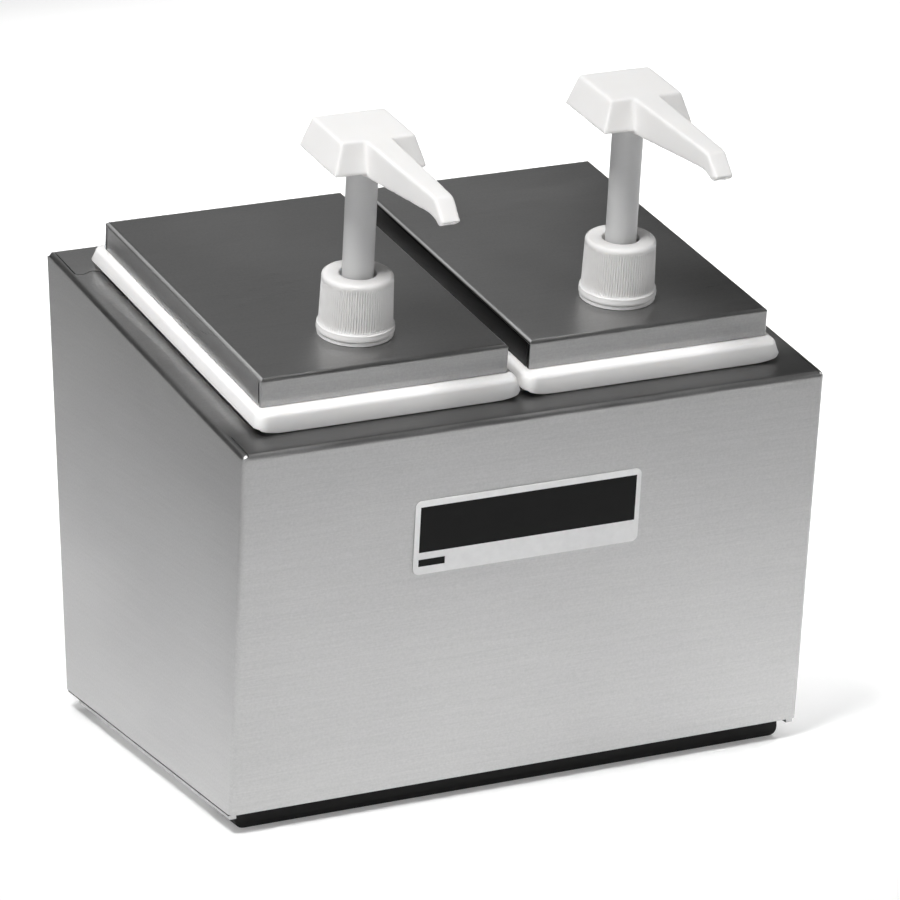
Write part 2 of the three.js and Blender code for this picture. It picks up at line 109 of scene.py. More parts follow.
def bake_modifiers(obj, smooth_angle=35):
    """The object's mesh becomes what its modifiers make of it."""
    graph = bpy.context.evaluated_depsgraph_get()
    made = bpy.data.meshes.new_from_object(obj.evaluated_get(graph))
    old = obj.data
    obj.modifiers.clear()
    obj.data = made
    bpy.data.meshes.remove(old)
    shade(obj, smooth_angle)
    return obj


def combine(obj, operation, *tools):
    """Boolean of an object with other objects, which are used up."""
    for tool in tools:
        step = obj.modifiers.new(operation, "BOOLEAN")
        step.operation = operation
        step.solver = "EXACT"
        step.object = tool
    bake_modifiers(obj)
    for tool in tools:
        bpy.data.objects.remove(tool)
    return obj


def bevel(obj, width, segments=2, angle=40):
    """Edges sharper than the angle are rounded by the width."""
    step = obj.modifiers.new("bevel", "BEVEL")
    step.width = width * MM
    step.segments = segments
    step.limit_method = "ANGLE"
    step.angle_limit = math.radians(angle)
    step.harden_normals = False
    return bake_modifiers(obj, angle)


def thicken(obj, sheet):
    """A skin given its sheet thickness inwards."""
    step = obj.modifiers.new("sheet", "SOLIDIFY")
    step.thickness = sheet * MM
    step.offset = -1
    step.use_even_offset = True
    return bake_modifiers(obj)


def lofted(loops, closed=False):
    """A skin over loops of equally many points. Its first and last loops are capped, or joined."""
    bm = bmesh.new()
    rings = [[bm.verts.new(point) for point in loop] for loop in loops]
    pairs = list(zip(rings, rings[1:]))
    if closed:
        pairs.append((rings[-1], rings[0]))
    for lower, upper in pairs:
        count = len(lower)
        for i in range(count):
            j = (i + 1) % count
            bm.faces.new((lower[i], lower[j], upper[j], upper[i]))
    if not closed:
        bm.faces.new(rings[0][::-1])
        bm.faces.new(rings[-1])
    bmesh.ops.recalc_face_normals(bm, faces=bm.faces)
    return bm


def prism(outline, low, high):
    """A closed outline of (x, y) points raised from low to high along z."""
    return lofted([[(x, y, z) for x, y in outline] for z in (low, high)])


def cuboid(x0, x1, y0, y1, z0, z1):
    """A box from its three ranges."""
    return prism([(x0, y0), (x1, y0), (x1, y1), (x0, y1)], z0, z1)


def arc(centre, radius, start, end, steps=4):
    """(a, b) points on an arc, angles in degrees."""
    a, b = centre
    angles = [math.radians(start + (end - start) * i / steps) for i in range(steps + 1)]
    return [(a + radius * math.cos(angle), b + radius * math.sin(angle)) for angle in angles]


def rounded(width, length, radius, steps=8, along=0):
    """A rounded rectangle round the origin as (x, y) points, with more points along each side."""
    arcs = []
    for quarter, (sx, sy) in enumerate(((1, 1), (-1, 1), (-1, -1), (1, -1))):
        centre = (sx * (width / 2 - radius), sy * (length / 2 - radius))
        start = 90 * quarter
        arcs.append(arc(centre, radius, start, start + 90, steps))
    points = []
    for corner, following in zip(arcs, arcs[1:] + arcs[:1]):
        points += corner
        start, end = Vector(corner[-1]), Vector(following[0])
        for i in range(along):
            share = 0.5 - 0.5 * math.cos(math.pi * (i + 1) / (along + 1))
            points.append(tuple(start.lerp(end, share)))
    return points


def turned(profile, segments=96, wave=None):
    """Loops of (radius, height) points turned about z. wave may change a radius at an angle."""
    loops = []
    for radius, height in profile:
        loop = []
        for i in range(segments):
            angle = 2 * math.pi * i / segments
            r = wave(radius, height, angle) if wave else radius
            loop.append((r * math.cos(angle), r * math.sin(angle), height))
        loops.append(loop)
    return loops


def rod(radius, low, high, segments=64):
    """A round bar along z."""
    return lofted(turned([(radius, low), (radius, high)], segments))


def finish_piece(obj, body, material, slot, *nodes):
    """A piece's material, the body it rides on and the nodes it stands for, which are hidden. The
    slot is not used.
    """
    obj.data.materials.clear()
    obj.data.materials.append(material)
    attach(obj, body)
    if nodes:
        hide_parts(*nodes)
    return obj


# ---------------------------------------------------------------- materials

class Look:
    """A node material round one Principled shader, whose even values are set on its own sockets."""

    def __init__(self, name, **sockets):
        self.material = bpy.data.materials.new(name)
        self.material.use_nodes = True
        self.tree = self.material.node_tree
        self.shader = self.tree.nodes["Principled BSDF"]
        for key, value in sockets.items():
            socket = key.replace("_", " ").title().replace("Ior", "IOR")
            self.shader.inputs[socket].default_value = value

    def node(self, kind, inputs=None, **settings):
        """A new shader node. Each input is linked to a socket or set to an even value."""
        made = self.tree.nodes.new("ShaderNode" + kind)
        for key, value in settings.items():
            setattr(made, key, value)
        for key, value in (inputs or {}).items():
            if isinstance(value, bpy.types.NodeSocket):
                self.tree.links.new(value, made.inputs[key])
            else:
                made.inputs[key].default_value = value
        return made

    def parts(self, vector):
        """The X, Y and Z of a vector."""
        return self.node("SeparateXYZ", {0: vector}).outputs

    def facing(self):
        """The X, Y and Z of the way a face looks."""
        return self.parts(self.node("NewGeometry").outputs["Normal"])

    def calculate(self, operation, first, second=0.0):
        """The value of a sum, product, comparison or absolute value."""
        return self.node("Math", {0: first, 1: second}, operation=operation).outputs[0]

    def link(self, socket, name):
        """A socket that drives one of the shader's inputs."""
        self.tree.links.new(socket, self.shader.inputs[name])

    def place(self):
        """The object's own coordinates, in metres."""
        return self.node("TexCoord").outputs["Object"]

    def noise(self, place, scale, detail=3.0, stretch=(1, 1, 1)):
        """Noise of about scale features per metre, squeezed along each axis by stretch."""
        mapped = self.node("Mapping", {"Vector": place, "Scale": stretch}).outputs[0]
        made = self.node("TexNoise", {"Vector": mapped, "Scale": scale, "Detail": detail})
        return made.outputs["Fac"]

    def spread(self, value, low, high, start=0.3, end=0.7):
        """A value taken from the range start to end and spread over low to high."""
        made = self.node("MapRange", {"Value": value, "From Min": start, "From Max": end,
                                      "To Min": low, "To Max": high})
        return made.outputs[0]

    def tint(self, amount, dark, light):
        """A colour between dark and light."""
        made = self.node("Mix", data_type="RGBA")
        self.tree.links.new(amount, made.inputs["Factor"])
        made.inputs["A"].default_value = (*dark, 1)
        made.inputs["B"].default_value = (*light, 1)
        return made.outputs["Result"]

    def bump(self, height, strength, distance, under=None):
        """A relief of that many metres, over another relief if one is given."""
        inputs = {"Height": height, "Strength": strength, "Distance": distance}
        if under is not None:
            inputs["Normal"] = under
        return self.node("Bump", inputs).outputs[0]


def grey(value, warmth=0.0):
    """A grey, leaning towards red where warmth is above 0."""
    return (value * (1 + warmth), value, value * (1 - warmth))


def grain_place(look):
    """Coordinates whose x runs along the brushing: across, or back on the sides."""
    place = look.place()
    x, y, z = look.parts(place)
    swapped = look.node("CombineXYZ", {"X": y, "Y": x, "Z": z}).outputs[0]
    facing = look.parts(look.node("NewGeometry").outputs["True Normal"])
    sideways = look.calculate("ABSOLUTE", facing["X"])
    on_side = look.calculate("GREATER_THAN", sideways, 0.7)
    made = look.node("Mix", {"Factor": on_side}, data_type="VECTOR")
    look.tree.links.new(place, made.inputs["A"])
    look.tree.links.new(swapped, made.inputs["B"])
    return made.outputs["Result"]


def side_folds(look):
    """Where the painted highlight and the extra roughness go: 1 on folds between a side and the
    top, fading to 0 on the flat faces.
    """
    facing = look.facing()
    product = look.calculate("MULTIPLY", facing["X"], facing["Z"])
    return look.spread(look.calculate("ABSOLUTE", product), 0, 1, 0.22, 0.42)


GAP_SHADE_REACH = 0.0064, 0.0072  # metres from the middle plane over which the painted shade in the gap ends


def narrow_gap_shade(look):
    """Where painted shade goes: 1 on faces that look into the gap along the middle plane, 0
    elsewhere.
    """
    away = look.calculate("ABSOLUTE", look.parts(look.place())["X"])
    turned_in = look.calculate("ABSOLUTE", look.facing()["X"])
    near = look.spread(away, 1, 0, *GAP_SHADE_REACH)
    upright = look.spread(turned_in, 0, 1, 0.75, 0.95)
    return look.calculate("MULTIPLY", near, upright)


STRIP_SHADE_REACH = 0.022, 0.04   # metres behind the front edge over which the painted shade of the strip ends


def front_strip_shade(look):
    """Where painted shade goes: 1 on the strip of deck along its front edge, fading to 0 behind it
    and on the folds.
    """
    start, end = [case_low.y * MM + reach for reach in STRIP_SHADE_REACH]
    near = look.spread(look.parts(look.place())["Y"], 1, 0, start, end)
    level = look.spread(look.facing()["Z"], 0, 1, 0.86, 0.96)
    return look.calculate("MULTIPLY", near, level)


def blend(look, share, first, tone):
    """A colour that goes over to an even grey of that tone where share is 1."""
    made = look.node("Mix", {"Factor": share}, data_type="RGBA")
    look.tree.links.new(first, made.inputs["A"])
    made.inputs["B"].default_value = (*grey(tone), 1)
    return made.outputs["Result"]


FINE_BRUSHING = 45, 2600, 2600          # features per metre, along and across the lines
SOFT_BRUSHING = 9, 420, 420
FOLD_HIGHLIGHT_TONE = 0.62                        # painted highlight on the lids' side folds
GAP_SHADE_TONE = 0.02                       # painted shade on the lid faces in the narrow gap
STRIP_SHADE_TONE = 0.24                       # painted shade on the deck along its front edge


def brushed_steel(name, tone, roughness, grain=0.25, lid=False):
    """Satin stainless: brush lines, mottle and smears, with a painted highlight on the lids' side
    folds (which are also rougher), painted shade in the narrow gap between the lids and painted
    shade along the deck's front strip.
    """
    look = Look(name, metallic=1.0)
    place = grain_place(look)
    lines = look.noise(place, 1.0, 4.0, FINE_BRUSHING)
    soft_lines = look.noise(place, 1.0, 2.0, SOFT_BRUSHING)
    mottle = look.noise(place, 900, 3.0)
    smears = look.noise(place, 16, 3.0, (0.6, 1, 1))
    streaks = look.calculate("ADD", lines, look.spread(soft_lines, 0.35, 0.65, 0, 1))
    mixed = look.spread(look.calculate("ADD", streaks, mottle), 0, 1, 1.1, 1.9)
    colour = look.tint(mixed, grey(tone * 0.88), grey(tone * 1.08, 0.004))
    smeared = look.spread(smears, roughness - 0.04, roughness + 0.05)
    rough = look.calculate("ADD", look.spread(lines, -0.05, 0.05), smeared)
    if lid:
        fold_highlight_and_scuff = side_folds(look)
        # painted highlight: the lids' side folds go over to a lighter grey; the same mask makes
        # them rougher
        colour = blend(look, fold_highlight_and_scuff, colour, FOLD_HIGHLIGHT_TONE)
        # painted shade: lid faces in the narrow gap go over to near black
        colour = blend(look, narrow_gap_shade(look), colour, GAP_SHADE_TONE)
        rough = look.calculate("ADD", look.spread(fold_highlight_and_scuff, 0, 0.3, 0, 1), rough)
    else:
        # painted shade: the deck's flat front strip goes over to a darker grey, standing in for the
        # dark reflection it shows
        colour = blend(look, front_strip_shade(look), colour, STRIP_SHADE_TONE)
    look.link(colour, "Base Color")
    look.link(rough, "Roughness")
    fine = look.bump(lines, grain, 0.00006)
    look.link(look.bump(mottle, grain * 0.35, 0.0002, fine), "Normal")
    return look.material


def moulded_plastic(name, tone, roughness, warmth=0.01, glow=0.12):
    """Moulded plastic: slight mottling, scuffed gloss and a faint spark texture."""
    look = Look(name, subsurface_weight=glow, subsurface_scale=0.004, ior=1.49)
    look.shader.inputs["Subsurface Radius"].default_value = (1.0, 0.9, 0.8)
    place = look.place()
    clouds = look.spread(look.noise(place, 28, 3.0), 0, 1)
    look.link(look.tint(clouds, grey(tone * 0.97, warmth), grey(tone, warmth)), "Base Color")
    scuffs = look.noise(place, 90, 5.0, (1, 1, 0.4))
    look.link(look.spread(scuffs, roughness - 0.05, roughness + 0.08), "Roughness")
    look.link(look.bump(look.noise(place, 2200, 2.0), 0.12, 0.00008), "Normal")
    return look.material


def rubber(name):
    """Black rubber with a little dust."""
    look = Look(name, specular_ior_level=0.3)
    place = look.place()
    dust = look.noise(place, 60, 5.0)
    look.link(look.tint(look.spread(dust, 0, 1), grey(0.006), grey(0.016)), "Base Color")
    look.link(look.spread(dust, 0.62, 0.8), "Roughness")
    look.link(look.bump(look.noise(place, 1800, 3.0), 0.3, 0.0001), "Normal")
    return look.material


def wire_steel(name):
    """Drawn steel wire, brighter and smoother than the sheet."""
    look = Look(name, metallic=1.0)
    place = look.place()
    drawn = look.noise(place, 700, 3.0)
    look.link(look.tint(look.spread(drawn, 0, 1), grey(0.42), grey(0.55)), "Base Color")
    look.link(look.spread(drawn, 0.22, 0.34), "Roughness")
    look.link(look.bump(drawn, 0.15, 0.00005), "Normal")
    return look.material


def printed_film(name, tone, roughness, gloss=0.5):
    """A printed plastic film in an even ink."""
    look = Look(name, specular_ior_level=gloss)
    place = look.place()
    ink = look.noise(place, 240, 4.0)
    look.link(look.tint(look.spread(ink, 0, 1), grey(tone * 0.94), grey(tone)), "Base Color")
    wear = look.noise(place, 50, 3.0)
    look.link(look.spread(wear, roughness - 0.04, roughness + 0.06), "Roughness")
    look.link(look.bump(ink, 0.05, 0.00005), "Normal")
    return look.material


case_steel = brushed_steel("case_brushed_steel", 0.50, 0.36)
lid_steel = brushed_steel("lid_brushed_steel", 0.38, 0.34, lid=True)
jar_plastic = moulded_plastic("jar_white_plastic", 0.94, 0.5)
head_plastic = moulded_plastic("head_white_plastic", 0.78, 0.55)
cap_plastic = moulded_plastic("cap_white_plastic", 0.74, 0.5)
stem_plastic = moulded_plastic("stem_grey_plastic", 0.56, 0.45, 0.0, 0.05)
barrel_plastic = moulded_plastic("barrel_natural_plastic", 0.6, 0.4, 0.02, 0.3)
rail_rubber = rubber("rail_black_rubber")
spring_wire = wire_steel("spring_wire_steel")
badge_white = printed_film("badge_white_film", 0.85, 0.4)
badge_black = printed_film("badge_black_ink", 0.008, 0.45, 0.12)

# ---------------------------------------------------------------- case

SHEET = 1.2                 # stainless sheet of the case
BEND = 2.8                  # outside radius of its folds
SEAM = 0.7                  # open width of a welded seam
FLANGE_DEPTH = 22           # front flange, front edge to its end on the deck
REACH = 60                  # how far a cutting tool runs past what it cuts
RIM_COVER = 1.6             # how far each outer rim reaches over the side of the cut-out
OPENING_LENGTH, OPENING_CORNER = 195, 8
REAR_FLANGE = 220           # up the slope to the wavy edge of the rear flange
WAVE_HEIGHT, WAVE_RATE, WAVE_START = 1.3, 0.55, 80.6        # the rate and start in radians
WAVE_STEPS = 160
FOLD_GAP = 0.4              # from the side fold to the end of the rear flange
SLOT_WIDTH, SLOT_START, SLOT_DEPTH = 0.5, 0.6, 0.8
SLOT_GAP = 0.3              # from the side fold to the middle of the slot
RELIEF_RADIUS, RELIEF_DEPTH = 1.1, 2.5
RELIEF_IN, RELIEF_AHEAD = 0.7, 1.0      # the relief hole in from the side, and from the back


def folded_shell():
    """The case's skin with rounded folds, open below and with its sheet thickness inwards."""
    half = case_high.x
    foot_front = case_low.y + (deck_front.z - case_low.z) * math.tan(slope)
    outline = [(foot_front, case_low.z), (case_low.y, deck_front.z),
               (rear_high.y, rear_high.z), (rear_high.y, case_low.z)]
    bm = bmesh.new()
    left = [bm.verts.new((-half, y, z)) for y, z in outline]
    right = [bm.verts.new((half, y, z)) for y, z in outline]
    for i in range(3):
        bm.faces.new((left[i], right[i], right[i + 1], left[i + 1]))
    bm.faces.new(left)
    bm.faces.new(right[::-1])
    folds = [(left[0], left[1]), (right[0], right[1]), (left[1], right[1]), (left[2], right[2]),
             (left[1], left[2]), (right[1], right[2])]
    edges = [bm.edges.get(pair) for pair in folds]
    bmesh.ops.bevel(bm, geom=edges, offset=BEND, segments=5, profile=0.5, affect="EDGES")
    return thicken(piece("case_skin", bm, ROW), SHEET)


def deck_opening():
    """The cut-out that the jars hang in, round the middle of the rail across it."""
    rims = [deck_box(f"{side}_jar") for side in SIDES]
    rail_low, rail_high = deck_box("center_rail")
    width = rims[1][1].x - rims[0][0].x - RIM_COVER * 2
    bm = prism(rounded(width, OPENING_LENGTH, OPENING_CORNER), -REACH, REACH)
    bmesh.ops.translate(bm, verts=bm.verts, vec=(0, (rail_low.y + rail_high.y) / 2, 0))
    return piece("deck_opening", bm, DECK)


def seam_line(x):
    """How far up the slope the wavy edge of the rear flange lies."""
    return REAR_FLANGE + WAVE_HEIGHT * math.sin(abs(x) * WAVE_RATE - WAVE_START)


def rear_cutter(grow):
    """Everything behind the rear flange's wavy edge and between the side folds."""
    half = case_high.x - BEND - FOLD_GAP + grow
    front = []
    for i in range(WAVE_STEPS + 1):
        x = -half + 2 * half * i / WAVE_STEPS
        front.append((x, deck_depth(seam_line(x) - grow)))
    back = rear_high.y + REACH
    outline = front + [(half, back), (-half, back)]
    return piece("rear_cutter", prism(outline, -REACH, rear_high.z + REACH), ROW)


def flange_slots():
    """The open slot at each end of the front flange, just inside the side fold."""
    tools = []
    for sign in (-1, 1):
        x = sign * (case_high.x - BEND - SLOT_GAP)
        left, right = x - SLOT_WIDTH / 2, x + SLOT_WIDTH / 2
        bm = cuboid(left, right, SLOT_START, FLANGE_DEPTH, -SLOT_DEPTH, REACH)
        tools.append(piece("flange_slot", bm, DECK))
    return tools


def corner_reliefs():
    """Small relief holes where three folds meet at the back."""
    tools = []
    for sign in (-1, 1):
        bm = rod(RELIEF_RADIUS, -RELIEF_DEPTH, REACH, 16)
        place = (sign * (case_high.x - RELIEF_IN), rear_high.y - RELIEF_AHEAD, rear_high.z)
        bmesh.ops.translate(bm, verts=bm.verts, vec=place)
        tools.append(piece("corner_relief", bm, ROW))
    return tools


def make_case():
    """The folded case, parted along the seam into its body and its rear panel."""
    case = folded_shell()
    combine(case, "DIFFERENCE", deck_opening())
    rear = case.copy()
    rear.data = case.data.copy()
    bpy.context.scene.collection.objects.link(rear)
    combine(rear, "INTERSECT", rear_cutter(0))
    combine(case, "DIFFERENCE", rear_cutter(SEAM), *flange_slots(), *corner_reliefs())
    case.name = "case_folded_body"
    rear.name = "rear_folded_panel"
    finish_piece(case, "case", case_steel, "case_steel", "case_shell")
    finish_piece(rear, "case", case_steel, "case_steel", "rear_panel")


# ---------------------------------------------------------------- rails and pan

FRONT_RAIL_ROUND, REAR_RAIL_ROUND = 4.5, 2.5        # radius of the strips' lower ends
RAIL_EDGE = 0.6
GROOVE_END, GROOVE_SIDE, GROOVE_DEPTH = 12, 8, 1.2  # in from the ends and sides, and its depth
PAN_HEM = 1.9               # height of the pan's side hem
JOINT_STRIP_WIDTH, JOINT_STRIP_INSET, JOINT_STRIP_EDGE = 3, 0.15, 0.15


def rail_piece(name, node, end_round):
    """A moulded foot strip: rounded lower ends, softened edges and a shallow groove underneath."""
    low, high = [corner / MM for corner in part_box(node)]
    half = high.x
    lower = arc((half - end_round, low.z + end_round), end_round, -90, 0, 6)
    outline = lower + [(half, high.z), (-half, high.z)] + [(-x, z) for x, z in reversed(lower)]
    strip = piece(name, prism(outline, -high.y, -low.y), ROW @ UPRIGHT)
    groove = cuboid(GROOVE_END - half, half - GROOVE_END, low.y + GROOVE_SIDE,
                    high.y - GROOVE_SIDE, low.z - 1, low.z + GROOVE_DEPTH)
    combine(strip, "DIFFERENCE", piece("rail_groove", groove, ROW))
    bevel(strip, RAIL_EDGE, 2, 50)
    finish_piece(strip, "case", rail_rubber, "black_plastic", node)


def pan_joint_strips():
    """A black strip along the joint between each lower edge of the case and the hem of the pan."""
    pan_low, pan_high = [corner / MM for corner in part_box("bottom_pan")]
    front, back = pan_low.y, rear_high.y - 1
    for side, sign in zip(SIDES, (-1, 1)):
        inner, outer = sign * (pan_high.x - JOINT_STRIP_WIDTH), sign * (case_high.x - JOINT_STRIP_INSET)
        left, right = min(inner, outer), max(inner, outer)
        bm = cuboid(left, right, front, back, pan_low.z + PAN_HEM, case_low.z)
        joint_strip = piece(f"{side}_pan_joint_strip", bm, ROW)
        bevel(joint_strip, JOINT_STRIP_EDGE, 2)
        finish_piece(joint_strip, "case", rail_rubber, "black_plastic")


# ---------------------------------------------------------------- badge

FILM_CORNER, FILM_EDGE = 3.2, 0.25
PANEL_SIDE, PANEL_TOP, PANEL_FOOT = 2.5, 3.2, 26.7      # in from the side, down from the top
BAR_TOP, BAR_FOOT, BAR_WIDTH = 30.3, 33.9, 13.5
INK_BELOW, INK_ABOVE = 0.02, 0.05       # how the ink lies in and over the film's face


def make_badge():
    """A white film badge with a black panel and a short plain bar, on the leaning front face."""
    low, high = deck_box("badge_plate")
    width, height = high.x - low.x, high.z - low.z
    centre = Vector(((low.x + high.x) / 2, high.y, (low.z + high.z) / 2))
    place = DECK @ Matrix.Translation(centre) @ UPRIGHT
    face = high.y - low.y - INK_ABOVE - 0.01
    plate = piece("badge_film", prism(rounded(width, height, FILM_CORNER), 0, face), place)
    bevel(plate, FILM_EDGE, 2)
    finish_piece(plate, "case", badge_white, "badge_film", "badge_plate")
    left, top = PANEL_SIDE - width / 2, height / 2
    marks = {"badge_panel": (left, -left, top - PANEL_FOOT, top - PANEL_TOP),
             "badge_bar": (left, left + BAR_WIDTH, top - BAR_FOOT, top - BAR_TOP)}
    for name, edges in marks.items():
        ink = piece(name, cuboid(*edges, face - INK_BELOW, face + INK_ABOVE), place)
        finish_piece(ink, "case", badge_black, "badge_film")


# ---------------------------------------------------------------- jars

RIM_DRAFT = 1.3             # how far the rim's walls lean in
RIM_SOFT = 2.6              # radius of its upper edges
RIM_CORNER = 5.5            # upright corners of the rim
RIM_LIFT = 2.3              # its lower edge stands off the deck at the corners and long sides
RIM_EASE = 13               # length over which the front edge rises to the corner
RIM_CLEAR = 0.3             # its front edge over the deck
RIM_EDGE = 0.6              # radius of its lower edge
RIM_WALL = 3                # its thickness, at the side and on top
RIM_FILLET = 1.5            # rounding of the corners under it
JAR_WALL = 2.5
TUB_WIDTH, TUB_LENGTH, TUB_CORNER = 113, 190, 13
TUB_TAPER_X, TUB_TAPER_Y = 0.1, 0.08    # share of its width and length lost down to the floor
TUB_FLOOR_ROUND = 9
CORNER_STEPS, SIDE_STEPS = 8, 15        # points round each corner and along each side


def rim_lift(x, y, half_width, half_length):
    """How far the rim's lower edge stands up at a place on its outline."""
    to_side, to_end = half_width - abs(x), half_length - abs(y)
    if to_side <= to_end:
        return RIM_LIFT
    return RIM_LIFT * max(0, 1 - to_side / RIM_EASE) ** 1.6


def rim_loop(size, inset, height, corner, lift=0.0):
    """A loop round the rim, in from its outer size. lift brings in its wavy lower edge."""
    width, length = size[0] - inset * 2, size[1] - inset * 2
    shape = rounded(width, length, corner, CORNER_STEPS, SIDE_STEPS)
    return [(x, y, height + lift * rim_lift(x, y, width / 2, length / 2)) for x, y in shape]


def tub_loop(top, floor, inset, height, corner):
    """A loop round the tub, which narrows from the top to the floor."""
    sunk = (top - height) / (top - floor)
    width = (TUB_WIDTH - inset * 2) * (1 - TUB_TAPER_X * sunk)
    length = (TUB_LENGTH - inset * 2) * (1 - TUB_TAPER_Y * sunk)
    shape = rounded(width, length, corner, CORNER_STEPS, SIDE_STEPS)
    return [(x, y, height) for x, y in shape]


def make_jar(side):
    """A tub with a rounded floor that hangs by an out-turned rim with soft edges."""
    low, high = deck_box(f"{side}_jar")
    size = (high.x - low.x, high.y - low.y)
    centre = Vector(((low.x + high.x) / 2, (low.y + high.y) / 2, 0))
    floor, foot, top = low.z, RIM_CLEAR, high.z
    rim = functools.partial(rim_loop, size)
    tub = functools.partial(tub_loop, top, floor)
    turn, soft, under = TUB_FLOOR_ROUND, RIM_SOFT, top - RIM_WALL

    loops = [tub(JAR_WALL + turn, floor + JAR_WALL, TUB_CORNER / 2)]
    for inset, height in arc((turn, floor + JAR_WALL + turn), turn, -90, -180, 5):
        loops.append(tub(JAR_WALL + inset, height, TUB_CORNER - 2))
    for inset, height in arc((-soft, top - soft), soft, 0, 90, 4):
        loops.append(tub(JAR_WALL + inset, height, TUB_CORNER - 1))
    for inset, height in arc((RIM_DRAFT + soft, top - soft), soft, 90, 180, 6):
        loops.append(rim(inset, height, RIM_CORNER))
    for inset, height in arc((RIM_EDGE, foot + RIM_EDGE), RIM_EDGE, 180, 270, 3):
        loops.append(rim(inset, height, RIM_CORNER, 1))
    loops.append(rim(RIM_WALL, foot, RIM_CORNER - 2, 1))
    loops.append(rim(RIM_WALL + 1.6, under - 1.4, RIM_CORNER - 2.5))
    loops.append(rim(RIM_WALL * 2, under, RIM_CORNER - 3))
    loops.append(tub(-RIM_FILLET, under, TUB_CORNER + 1))
    loops.append(tub(0, under - 1.6, TUB_CORNER + 1))
    for inset, height in arc((turn, floor + turn), turn, 180, 270, 5):
        loops.append(tub(inset, height, TUB_CORNER))
    jar = piece(f"{side}_jar_moulding", lofted(loops), DECK @ Matrix.Translation(centre), 50)
    finish_piece(jar, f"{side}_jar_body", jar_plastic, "jar_plastic", f"{side}_jar")


# ---------------------------------------------------------------- lids

LID_SHEET = 1.0
LID_BEND = 2.2              # outside radius of its folds
LID_CORNER = 0.9            # radius of its upright corners
LID_HOLE = 13.4             # radius of the hole for the pump's neck
SLIT_PLACE, SLIT = 2.5, 1   # in from the corner, and its width
SLIT_END = 0.3              # from its upper end to the fold


def pump_place(side):
    """The pump axis on the lid's top face, as a frame in millimetres."""
    cap_low, cap_high = deck_box(f"{side}_pump_cap")
    top = deck_box(f"{side}_lid")[1].z
    centre = Vector(((cap_low.x + cap_high.x) / 2, (cap_low.y + cap_high.y) / 2, top))
    return DECK @ Matrix.Translation(centre)


def folded_tray(low, high):
    """Four skirts and a top with rounded folds and corners, open below."""
    bm = bmesh.new()
    outline = [(low.x, low.y), (high.x, low.y), (high.x, high.y), (low.x, high.y)]
    foot = [bm.verts.new((x, y, low.z)) for x, y in outline]
    top = [bm.verts.new((x, y, high.z)) for x, y in outline]
    for i in range(4):
        j = (i + 1) % 4
        bm.faces.new((foot[i], foot[j], top[j], top[i]))
    bm.faces.new(top)
    folds = [bm.edges.get((top[i], top[(i + 1) % 4])) for i in range(4)]
    bmesh.ops.bevel(bm, geom=folds, offset=LID_BEND, segments=5, profile=0.5, affect="EDGES")
    upright = [e for e in bm.edges if abs(e.verts[0].co.z - e.verts[1].co.z) > LID_BEND * 2]
    bmesh.ops.bevel(bm, geom=upright, offset=LID_CORNER, segments=3, profile=0.5, affect="EDGES")
    return bm


def make_lid(side):
    """A folded tray with a slit beside each corner and a hole for the pump."""
    low, high = deck_box(f"{side}_lid")
    lid = thicken(piece(f"{side}_lid_folded", folded_tray(low, high), DECK), LID_SHEET)
    slits = []
    for y in (low.y + SLIT_PLACE, high.y - SLIT_PLACE):
        for x in (low.x, high.x):
            end = high.z - LID_BEND - SLIT_END
            tool = cuboid(x - 2, x + 2, y - SLIT / 2, y + SLIT / 2, low.z - 2, end)
            slits.append(piece("slit", tool, DECK))
    hole = piece("hole", rod(LID_HOLE, -5, 5), pump_place(side))
    combine(lid, "DIFFERENCE", hole, *slits)
    finish_piece(lid, f"{side}_lid_body", lid_steel, "lid_steel", f"{side}_lid")


# ---------------------------------------------------------------- pump cap and stem

CAP_FOOT, CAP_TOP = 2.3, 30.5           # heights over the lid
CAP_FLANGE = 18.6           # radius of the smooth foot flange
CAP_LOWER, CAP_UPPER = 17.6, 17.0       # radius of the ribbed wall at its foot and top
CAP_BORE, CAP_MOUTH = 13.5, 8.9         # radius inside, and of the hole for the stem
CAP_ROOF = 3.5              # thickness of its top
CAP_SHOULDER = 1.9          # radius of its upper edge
CAP_FILLET = 1.2            # radius between the flange and the wall
CAP_EDGE = 0.5
RIBS = 88
RIB_DEPTH = 0.75
RIB_LOW, RIB_HIGH = 6.4, CAP_TOP - 2.6
RIB_FADE = 0.7              # height over which a rib ends
RIB_ROWS, RIB_POINTS = 14, 8            # mesh rows up the ribs, and points round each rib
STEM_RADIUS, STEM_BORE, STEM_EDGE = 7.5, 4.6, 0.4


def rib_wave(radius, height, angle):
    """Rounded ribs that fade out at both ends of the ribbed wall."""
    ends = min(height - RIB_LOW, RIB_HIGH - height)
    if radius < CAP_BORE + CAP_EDGE or ends < 0:
        return radius
    fade = min(1, ends / RIB_FADE)
    return radius - RIB_DEPTH * fade * (0.5 - 0.5 * math.cos(angle * RIBS)) ** 1.5


